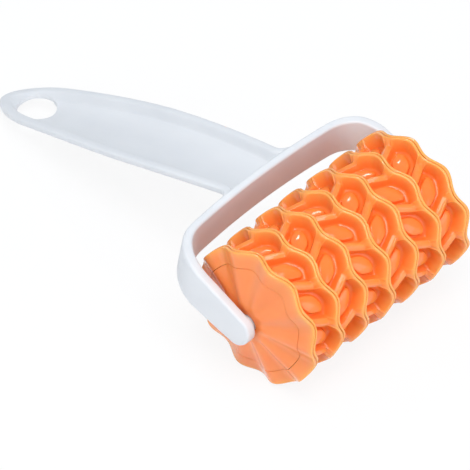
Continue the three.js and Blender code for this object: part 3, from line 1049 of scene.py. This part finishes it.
@dataclass
class Fork:
    """The bowed crossbar with its two arms and stub pins, about the roller's axis."""

    arm_inner_half: float = 42.6 * MM
    arm_thickness: float = 3.3 * MM
    crossbar_reach: float = 31.4 * MM
    crossbar_thickness: float = 2.6 * MM
    bow_radius: float = 300 * MM
    inner_corner: float = 13.4 * MM
    outer_corner: float = 15.6 * MM
    tongue_radius: float = 5 * MM
    crossbar_top: float = 16.6 * MM
    crossbar_bottom: float = 3.9 * MM
    arm_slope: float = math.radians(24.3)
    flat_top_share: float = 0.86
    top_bend_share: float = 0.62
    top_bend_drop: float = 1 * MM
    underside_bend_share: float = 0.5
    underside_sag_share: float = 0.1
    outer_draft: float = math.radians(9)
    inner_draft: float = math.radians(1)
    edge_rounding: float = 0.8 * MM
    pin_radius: float = 3 * MM
    pin_length: float = 7.9 * MM
    pin_tip: float = 0.6 * MM
    pin_groove: float = 0.2 * MM
    pin_columns: int = 48
    arm_steps: int = 44
    corner_steps: int = 18
    bow_steps: int = 36
    edge_steps: int = 5
    halvings: int = 40

    def plane(self, reach: float) -> float:
        """Height of the plane that the fork's upper edge lies in."""
        return self.tongue_radius / math.cos(self.arm_slope) + reach * math.tan(self.arm_slope)

    def top_at(self, reach: float) -> float:
        """Height of the upper edge at a distance behind the axis."""
        slope = self.arm_slope
        flat = self.crossbar_reach * self.flat_top_share
        bend = self.crossbar_reach * self.top_bend_share
        touch = -self.tongue_radius * math.sin(slope)
        if reach < touch:
            return math.sqrt(max(0.0, self.tongue_radius ** 2 - reach ** 2))
        if reach <= bend:
            return self.plane(reach)
        if reach >= flat:
            return self.crossbar_top
        share = (reach - bend) / (flat - bend)
        middle = self.crossbar_top - self.top_bend_drop
        first = self.plane(bend) + (middle - self.plane(bend)) * share
        return first + (middle + (self.crossbar_top - middle) * share - first) * share

    def bottom_at(self, reach: float) -> float:
        """Height of the lower edge at a distance behind the axis."""
        rise = math.atan2(self.crossbar_bottom + self.tongue_radius, self.crossbar_reach)
        slope = math.tan(rise) / 2
        leave = self.tongue_radius * math.sin(rise / 2)
        if reach < leave:
            return -math.sqrt(max(0.0, self.tongue_radius ** 2 - reach ** 2))
        flat = self.crossbar_reach * self.flat_top_share
        end = self.crossbar_bottom - (self.crossbar_reach - flat) * slope
        if reach >= flat:
            return end + (reach - flat) * slope
        start = -math.sqrt(self.tongue_radius ** 2 - leave ** 2)
        knee = self.crossbar_reach * self.underside_bend_share
        sag = -self.tongue_radius * self.underside_sag_share
        low, high = 0.0, 1.0
        for _ in range(self.halvings):
            share = (low + high) / 2
            y = (1 - share) ** 2 * leave + 2 * share * (1 - share) * knee + share ** 2 * flat
            low, high = (share, high) if y < reach else (low, share)
        return (1 - share) ** 2 * start + 2 * share * (1 - share) * sag + share ** 2 * end

    def run_point(self, station: float, half_span: float, reach: float, bow: float, corner: float) -> Vector:
        """A point of one face's run, seen from above.

        Args:
            station: 0 to 1 along an arm, 1 to 2 round its corner, 2 to 3 along half of the bow.
            half_span: From the middle to the arm's face.
            reach: From the axis to the crossbar's face.
            bow: Radius of that face's bow.
            corner: Radius of its corner.

        Returns:
            The point on the +X half.
        """
        bow_centre = reach - bow
        corner_x = half_span - corner
        corner_y = bow_centre + math.sqrt((bow - corner) ** 2 - corner_x ** 2)
        meet = math.atan2(corner_y - bow_centre, corner_x)
        if station <= 1:
            start = -self.tongue_radius
            return Vector((half_span, start + (corner_y - start) * station))
        if station <= 2:
            angle = meet * (station - 1)
            return Vector((corner_x + corner * math.cos(angle), corner_y + corner * math.sin(angle)))
        angle = meet + (math.pi / 2 - meet) * (station - 2)
        return Vector((bow * math.cos(angle), bow_centre + bow * math.sin(angle)))

    def point(self, station: float, height: float, depth: float) -> Vector:
        """A point of the fork's wall.

        Args:
            station: Place along the run, from 0 at the +X tongue to 6 at the other.
            height: Height over the axis.
            depth: 0 on the inner face to 1 on the outer face.

        Returns:
            The point about the axis.
        """
        mirrored = station > 3
        near = 6 - station if mirrored else station
        reach = self.run_point(near, self.arm_inner_half, self.crossbar_reach,
                               self.bow_radius, self.inner_corner).y
        drop = self.plane(reach) - height
        inset = drop * math.tan(self.inner_draft)
        outset = drop * math.tan(self.outer_draft)
        inner = self.run_point(near, self.arm_inner_half + inset, self.crossbar_reach + inset,
                               self.bow_radius + inset, self.inner_corner + inset)
        outer = self.run_point(near, self.arm_inner_half + self.arm_thickness + outset,
                               self.crossbar_reach + self.crossbar_thickness + outset,
                               self.bow_radius + self.crossbar_thickness + outset,
                               self.outer_corner + outset)
        if near < 1:
            inner.y = outer.y = reach
        flat = inner.lerp(outer, depth)
        return Vector((-flat.x if mirrored else flat.x, flat.y, height))

    def wall(self) -> bpy.types.Mesh:
        """Makes the wall as a band with rounded edges, which ends in two round tongues."""
        stations = [1 - math.cos(angle) for angle in quarter_turn(self.arm_steps)[:-1]]
        stations += [1 + k / self.corner_steps for k in range(self.corner_steps)]
        stations += [2 + k / self.bow_steps for k in range(self.bow_steps + 1)]
        stations += [6 - station for station in reversed(stations[:-1])]
        lengths = [0.0]
        middles = [self.point(station, self.crossbar_top, 0.5) for station in stations]
        for before, after in zip(middles, middles[1:]):
            lengths.append(lengths[-1] + (after - before).xy.length)

        def station_at(length: float) -> float:
            """Station at a length along the wall."""
            length = min(max(length, 0.0), lengths[-1])
            k = next(i for i in range(1, len(lengths)) if lengths[i] >= length)
            share = (length - lengths[k - 1]) / (lengths[k] - lengths[k - 1])
            return stations[k - 1] + (stations[k] - stations[k - 1]) * share

        reaches = [self.point(station, 0, 0.5).y for station in stations]
        top = [Vector((length, self.top_at(reach))) for length, reach in zip(lengths, reaches)]
        bottom = [Vector((length, self.bottom_at(reach))) for length, reach in zip(lengths, reaches)]
        outline = [*bottom, *reversed(top[1:-1])]
        count = len(outline)
        rounding = self.edge_rounding
        rims = [(rounding * (1 - math.cos(angle)), rounding * (1 - math.sin(angle)))
                for angle in quarter_turn(self.edge_steps)]
        outside = [(inset, 1, -fall) for inset, fall in reversed(rims)]
        inside = [(inset, 0, fall) for inset, fall in rims]
        points = []
        for inset, side, depth in (*outside, *inside):
            for place in inset_loop(outline, inset, True):
                station = station_at(place.x)
                thickness = (self.point(station, place.y, 1) - self.point(station, place.y, 0)).length
                points.append(self.point(station, place.y, side + depth / thickness))
        faces = row_faces(2 * len(rims), count)
        last = len(stations) - 1
        for start in (0, (2 * len(rims) - 1) * count):
            for k in range(last):
                low, high = k, (count - k) % count
                next_low, next_high = k + 1, count - k - 1
                corners = [start + low, start + next_low]
                corners += [start + next_high] if next_high != next_low else []
                corners += [start + high] if high != low else []
                faces.append(tuple(corners))
        return as_mesh("fork_wall", points, faces)

    def pin(self, side: Side) -> bpy.types.Mesh:
        """Makes a stub pin, which starts inside the arm, with a fine groove at its root."""
        inner = self.arm_inner_half
        radius = self.pin_radius
        end = inner - self.pin_length
        profile = [
            (end, 0.0), (end, radius - self.pin_tip),
            (end + self.pin_tip / 3, radius - self.pin_tip / 3),
            (end + self.pin_tip, radius), (inner - self.pin_groove, radius),
            (inner - self.pin_groove, radius - self.pin_groove), (inner, radius),
            (inner + self.arm_thickness / 2, radius), (inner + self.arm_thickness / 2, 0.0),
        ]
        points = [Vector((side.sign * x, reach * math.cos(turn), reach * math.sin(turn)))
                  for x, reach in profile for turn in whole_turn(self.pin_columns)]
        return as_mesh("stub_pin", points, row_faces(len(profile), self.pin_columns))


@dataclass
class Handle:
    """The dished handle, its rim round the tip and its hang hole, about the roller's axis."""

    axis_height: float
    tip_reach: float = 151.3 * MM
    tip_lift: float = 0.3 * MM
    root_reach: float = 34 * MM
    root_height: float = 16.4 * MM
    arch_radius: float = 670 * MM
    root_width: float = 26.4 * MM
    waist_width: float = 30 * MM
    end_width: float = 16.5 * MM
    taper_power: float = 1.5
    widest_reach: float = 86 * MM
    tip_length: float = 23 * MM
    tip_roundness: float = 2.25
    root_fillet: float = 4.5 * MM
    root_overlap: float = 1.3 * MM
    rim_thickness: float = 2.5 * MM
    rim_rounding: float = 0.8 * MM
    under_rounding: float = 0.5 * MM
    rim_land: float = 1.7 * MM
    bank_width: float = 2.0 * MM
    tray_depth: float = 3 * MM
    tray_root_depth: float = 3.4 * MM
    tray_root_run: float = 26 * MM
    tray_crown: float = 1.2 * MM
    tray_tip_fade: float = 26 * MM
    tray_thickness: float = 1 * MM
    hole_length: float = 14.6 * MM
    hole_width: float = 11.6 * MM
    hole_tip_distance: float = 17 * MM
    hole_rounding: float = 0.35 * MM
    hole_flare: float = 0.8 * MM
    cut_overrun: float = 8 * MM
    hole_columns: int = 96
    hole_steps: int = 4
    fillet_steps: int = 8
    under_steps: int = 3
    rim_steps: int = 5
    bank_rows: int = 9
    body_steps: int = 70
    tip_steps: int = 34
    crown_steps: int = 8

    @property
    def chord(self) -> Vector:
        """From the arch's start at the crossbar to its end at the tip: back, and down."""
        down = self.root_height + self.axis_height - self.tip_lift - self.rim_thickness
        return Vector((self.tip_reach - self.root_reach, down))

    @property
    def half_arc(self) -> float:
        """Half of the arch's angle."""
        return math.asin(self.chord.length / 2 / self.arch_radius)

    @property
    def root_slope(self) -> float:
        """Angle at which the arch leaves the crossbar."""
        return math.atan2(self.chord.y, self.chord.x) - self.half_arc

    @property
    def length(self) -> float:
        """Length of the handle's arch, from the crossbar to the tip."""
        return 2 * self.half_arc * self.arch_radius

    def on_arch(self, x: float, run: float, height: float) -> Vector:
        """A point of the handle: across it, along its arch, and over its rim's top."""
        angle = self.root_slope + run / self.arch_radius
        radius = self.arch_radius + height
        return Vector((
            x,
            self.root_reach + radius * math.sin(angle) - self.arch_radius * math.sin(self.root_slope),
            self.root_height + radius * math.cos(angle) - self.arch_radius * math.cos(self.root_slope),
        ))

    def half_width(self, run: float) -> float:
        """Half of the handle's width at a length along its arch."""
        widest = self.widest_reach - self.root_reach
        if run > widest:
            share = (run - widest) / (self.length - widest)
            taper = self.waist_width + (self.end_width - self.waist_width) * share ** self.taper_power
            tip = min(1.0, max(0.0, 1 - (self.length - run) / self.tip_length))
            return taper / 2 * math.sqrt(1 - tip ** self.tip_roundness)
        share = 1 - max(run, 0) / widest
        body = (self.waist_width + (self.root_width - self.waist_width) * share * share) / 2
        into = max(0.0, self.root_fillet - max(run, 0))
        return body + self.root_fillet - math.sqrt(self.root_fillet ** 2 - into ** 2)

    def tray_fall(self, run: float) -> float:
        """Depth of the tray's floor under the rim."""
        root = 1 - eased(run / self.tray_root_run)
        tip = eased((self.length - run) / self.tray_tip_fade)
        return tip * (self.tray_depth + (self.tray_root_depth - self.tray_depth) * root)

    def rows(self) -> list[tuple[float, float, float]]:
        """Rows of the section, from the middle of its underside round the edge to the tray.

        Returns:
            Each row's distance in from the edge, its height where the tray has no depth, and how
            much of the tray's depth it follows.
        """
        thickness = self.rim_thickness
        under = self.under_rounding
        rim = self.rim_rounding
        land = rim + self.rim_land
        bank = [(k / self.bank_rows, eased(k / self.bank_rows)) for k in range(self.bank_rows + 1)]
        rows = [(under + (land + self.bank_width - under) * share,
                 (thickness - self.tray_thickness) * depth - thickness, depth)
                for share, depth in reversed(bank)]
        rows += [(under * (1 - math.sin(angle)), under * (1 - math.cos(angle)) - thickness, 0.0)
                 for angle in quarter_turn(self.under_steps)[1:]]
        rows += [(rim * (1 - math.cos(angle)), -rim * (1 - math.sin(angle)), 0.0)
                 for angle in quarter_turn(self.rim_steps)]
        rows += [(land + self.bank_width * share, 0.0, depth) for share, depth in bank]
        return rows

    def solid(self) -> bpy.types.Mesh:
        """Makes the handle without its hole."""
        neck = self.length - self.tip_length
        runs = [-self.root_overlap]
        runs += [self.root_fillet * (1 - math.cos(angle)) for angle in quarter_turn(self.fillet_steps)]
        runs += [self.root_fillet + (neck - self.root_fillet) * k / self.body_steps
                 for k in range(1, self.body_steps + 1)]
        runs += [neck + self.tip_length * math.sin(angle) for angle in quarter_turn(self.tip_steps)[1:]]
        right = [Vector((self.half_width(run), run)) for run in runs]
        left = [Vector((-point.x, point.y)) for point in reversed(right[:-1])]
        outline = [*right, *left]
        count = len(outline)
        rows = self.rows()
        points = []
        for inward, height, depth in rows:
            for start, place in zip(outline, inset_loop(outline, inward, False)):
                x = max(0.0, place.x) if start.x >= 0 else min(0.0, place.x)
                place = Vector((0.0 if start.x == 0 else x, place.y))
                if start.y < 0:
                    place.y = start.y
                points.append(self.on_arch(place.x, place.y, height - depth * self.tray_fall(place.y)))
        faces = row_faces(len(rows), count, False)
        half = len(right) - 1
        section_ends = []
        for row in (0, len(rows) - 1):
            columns = []
            for k in range(half + 1):
                ends = (row * count + k, row * count + count - 1 - k)
                line = [ends[0]]
                first, last = (points[end] for end in ends)
                for step in range(1, self.crown_steps if k < half else 0):
                    share = step / self.crown_steps
                    across = first.lerp(last, share)
                    fall = self.tray_fall(runs[k])
                    crown = self.tray_crown * min(1.0, fall / self.tray_depth)
                    across.z -= crown * (1 - (2 * share - 1) ** 2)
                    line.append(len(points))
                    points.append(across)
                line.append(ends[1])
                columns.append(line)
            for before, after in zip(columns, columns[1:]):
                if len(after) == 2:
                    faces.append((*before, after[0]))
                    continue
                for step in range(self.crown_steps):
                    faces.append((before[step], before[step + 1], after[step + 1], after[step]))
            section_ends.append(columns[0])
        low, high = section_ends
        sides = [row * count for row in range(1, len(rows) - 1)]
        faces.append((*sides, *high, *[side + count - 1 for side in reversed(sides)], *reversed(low)))
        return as_mesh("handle", points, faces)

    def hole_cutter(self) -> bpy.types.Mesh:
        """Makes the oval that cuts the hang hole, flared so that the hole's edges are round."""
        run = self.length - self.hole_tip_distance
        top = -self.tray_fall(run) - self.tray_crown
        bottom = top - self.tray_thickness
        rounding = self.hole_rounding
        falls = [rounding * math.sin(angle) for angle in quarter_turn(self.hole_steps)]
        levels = [(top + self.cut_overrun, rounding + self.hole_flare)]
        levels += [(top - fall, rounding - fall) for fall in falls]
        levels += [(bottom + fall, rounding - fall) for fall in reversed(falls)]
        levels.append((bottom - self.cut_overrun, rounding + self.cut_overrun))
        columns = self.hole_columns
        points = [self.on_arch((self.hole_width / 2 + flare) * math.cos(turn),
                               run + (self.hole_length / 2 + flare) * math.sin(turn), height)
                  for height, flare in levels for turn in whole_turn(columns)]
        faces = row_faces(len(levels), columns)
        faces.append(tuple(range(columns)))
        faces.append(tuple((len(levels) - 1) * columns + k for k in range(columns)))
        return as_mesh("hole_cutter", points, faces)


def combine(base: bpy.types.Object, tool: bpy.types.Mesh, operation: str) -> None:
    """Joins a mesh to a piece, or cuts it away.

    Args:
        base: The piece, changed in place.
        tool: What is joined or cut.
        operation: UNION or DIFFERENCE.
    """
    helper = put_in_scene("tool", tool)
    step = base.modifiers.new("combine", "BOOLEAN")
    step.operation = operation
    step.solver = "EXACT"
    step.object = helper
    keep_result(base)
    bpy.data.objects.remove(helper)


@dataclass
class ForkAndHandle:
    """The white moulding as one piece: fork, stub pins and handle joined, hole cut."""

    fork: Fork
    handle: Handle

    def build(self, axis: Vector, finish: bpy.types.Material) -> None:
        """Makes the moulding.

        Args:
            axis: The roller's middle.
            finish: Its material.
        """
        piece = add_piece("white_fork_and_handle", self.fork.wall(), finish)
        handle = add_piece("handle_blank", self.handle.solid(), finish)
        combine(handle, self.handle.hole_cutter(), "DIFFERENCE")
        combine(piece, handle.data, "UNION")
        bpy.data.objects.remove(handle)
        for side in Side:
            combine(piece, self.fork.pin(side), "UNION")
        piece.data.transform(Matrix.Translation(axis))
        close_up(piece.data)
        dress(piece.data, finish)
        smooth_but_sharp(piece.data)
        fit_to_frame(piece, "frame", ["fork_and_handle"])


# Studio


def hang(name: str, data: bpy.types.ID, place: Vector, turn: Euler) -> bpy.types.Object:
    """Puts a lamp or a camera in the scene.

    Args:
        name: Name of the object.
        data: The lamp or the camera.
        place: Where it is.
        turn: How it is turned.

    Returns:
        The new object.
    """
    holder = put_in_scene(name, data)
    holder.location = place
    holder.rotation_euler = turn
    return holder


@dataclass
class Softbox:
    """A large square lamp that faces the roller."""

    name: str
    place: tuple[float, float, float]
    width: float
    power: float
    colour: tuple[float, float, float] = (1.0, 1.0, 1.0)

    def build(self, target: Vector) -> None:
        """Hangs the lamp and turns it to its target."""
        lamp = bpy.data.lights.new(self.name, "AREA")
        lamp.shape = "SQUARE"
        lamp.size = self.width
        lamp.energy = self.power
        lamp.color = self.colour
        turn = (target - Vector(self.place)).to_track_quat("-Z", "Y").to_euler()
        hang(self.name, lamp, Vector(self.place), turn)


@dataclass
class Studio:
    """A pale floor under soft light, with the photograph's camera."""

    axis: Vector
    floor_size: float = 4.0
    sky: float = 0.48
    sky_colour: tuple[float, float, float] = (0.79, 0.89, 1.0)
    floor_colour: tuple[float, float, float] = (0.9, 0.9, 0.9)
    shadow_share: float = 0.12
    lamps: tuple[Softbox, ...] = (
        Softbox("window_box", (0.72, 0.68, 0.95), 0.17, 1.5),
        Softbox("over_box", (-0.25, -0.35, 1.3), 0.9, 12.3),
        Softbox("side_box", (-1.4, -0.1, 0.7), 0.8, 5.0),
        Softbox("front_box", (0.35, -1.3, 0.3), 0.8, 4.0),
    )
    camera_place: tuple[float, float, float] = (-920.561 * MM, -824.095 * MM, 1182.541 * MM)
    camera_turn: tuple[float, float, float] = (46.48939, 0.40083, -47.06347)
    focal_length: float = 407.712
    sensor: float = 36.0

    def floor(self) -> None:
        """Lays the floor, which shows as white but keeps a soft shadow."""
        half = self.floor_size / 2
        mesh = bpy.data.meshes.new("studio_floor")
        mesh.from_pydata([(-half, -half, 0), (half, -half, 0), (half, half, 0), (-half, half, 0)], [],
                         [(0, 1, 2, 3)])
        nodes = FinishNodes("studio_paper")
        nodes.feed(nodes.shader, {"Base Color": (*self.floor_colour, 1), "Roughness": 0.9})
        glow = nodes.node("ShaderNodeEmission", {"Color": (1, 1, 1, 1), "Strength": 1.0})
        ray = nodes.node("ShaderNodeLightPath")
        seen = ray.outputs["Is Camera Ray"]
        for kind in ("Is Glossy Ray", "Is Transmission Ray"):
            either = nodes.node("ShaderNodeMath", {0: seen, 1: ray.outputs[kind]}, operation="MAXIMUM")
            seen = either.outputs[0]
        share = nodes.node("ShaderNodeMath", {0: seen, 1: 1 - self.shadow_share}, operation="MULTIPLY")
        mixed = nodes.node("ShaderNodeMixShader", {
            0: share.outputs[0], 1: nodes.shader.outputs[0], 2: glow.outputs[0],
        })
        nodes.feed(nodes.tree.nodes["Material Output"], {"Surface": mixed.outputs[0]})
        mesh.materials.append(nodes.material)
        put_in_scene("studio_floor", mesh)

    def world(self) -> None:
        """Sets the even light from all round."""
        world = bpy.data.worlds.new("studio_world")
        world.use_nodes = True
        sky = world.node_tree.nodes["Background"]
        sky.inputs["Color"].default_value = (*self.sky_colour, 1)
        sky.inputs["Strength"].default_value = self.sky
        bpy.context.scene.world = world

    def camera(self) -> None:
        """Sets the photograph's camera."""
        lens = bpy.data.cameras.new("photo_camera")
        lens.lens = self.focal_length
        lens.sensor_width = self.sensor
        lens.sensor_fit = "HORIZONTAL"
        lens.clip_start = 0.01
        lens.clip_end = 20
        turn = Euler([math.radians(angle) for angle in self.camera_turn], "XYZ")
        place = self.axis + Vector(self.camera_place)
        bpy.context.scene.camera = hang("photo_camera", lens, place, turn)

    def build(self) -> None:
        """Makes the whole studio."""
        self.floor()
        self.world()
        for lamp in self.lamps:
            lamp.build(self.axis)
        self.camera()
        bpy.context.scene.view_settings.view_transform = "Standard"


def main() -> None:
    """Builds every piece in order."""
    logging.basicConfig(level=logging.INFO, format="%(name)s: %(message)s")
    axis = Vector(frame["joints"][0]["pos_m"])
    orange = OrangePlastic(axis=(axis.y, axis.z)).material()
    # The ends' copy has its painted shade close to its plain colour.
    end_orange = OrangePlastic((axis.y, axis.z), "orange_plastic_ends",
                               deep=(1.0, 0.27, 0.08), face=(1.0, 0.3, 0.1)).material()
    white = WhitePlastic().material()
    relief = Relief()
    PatternRings(relief).build(axis, orange)
    RollerEnds(relief).build(axis, end_orange)
    ForkAndHandle(Fork(), Handle(axis.z)).build(axis, white)
    core = frame["nodes"]["core_tube"]
    for material_slot in core.material_slots:
        material_slot.material = orange
    Studio(axis).build()
    log.info("pieces made, sizes written")


if __name__ == "__main__":
    main()
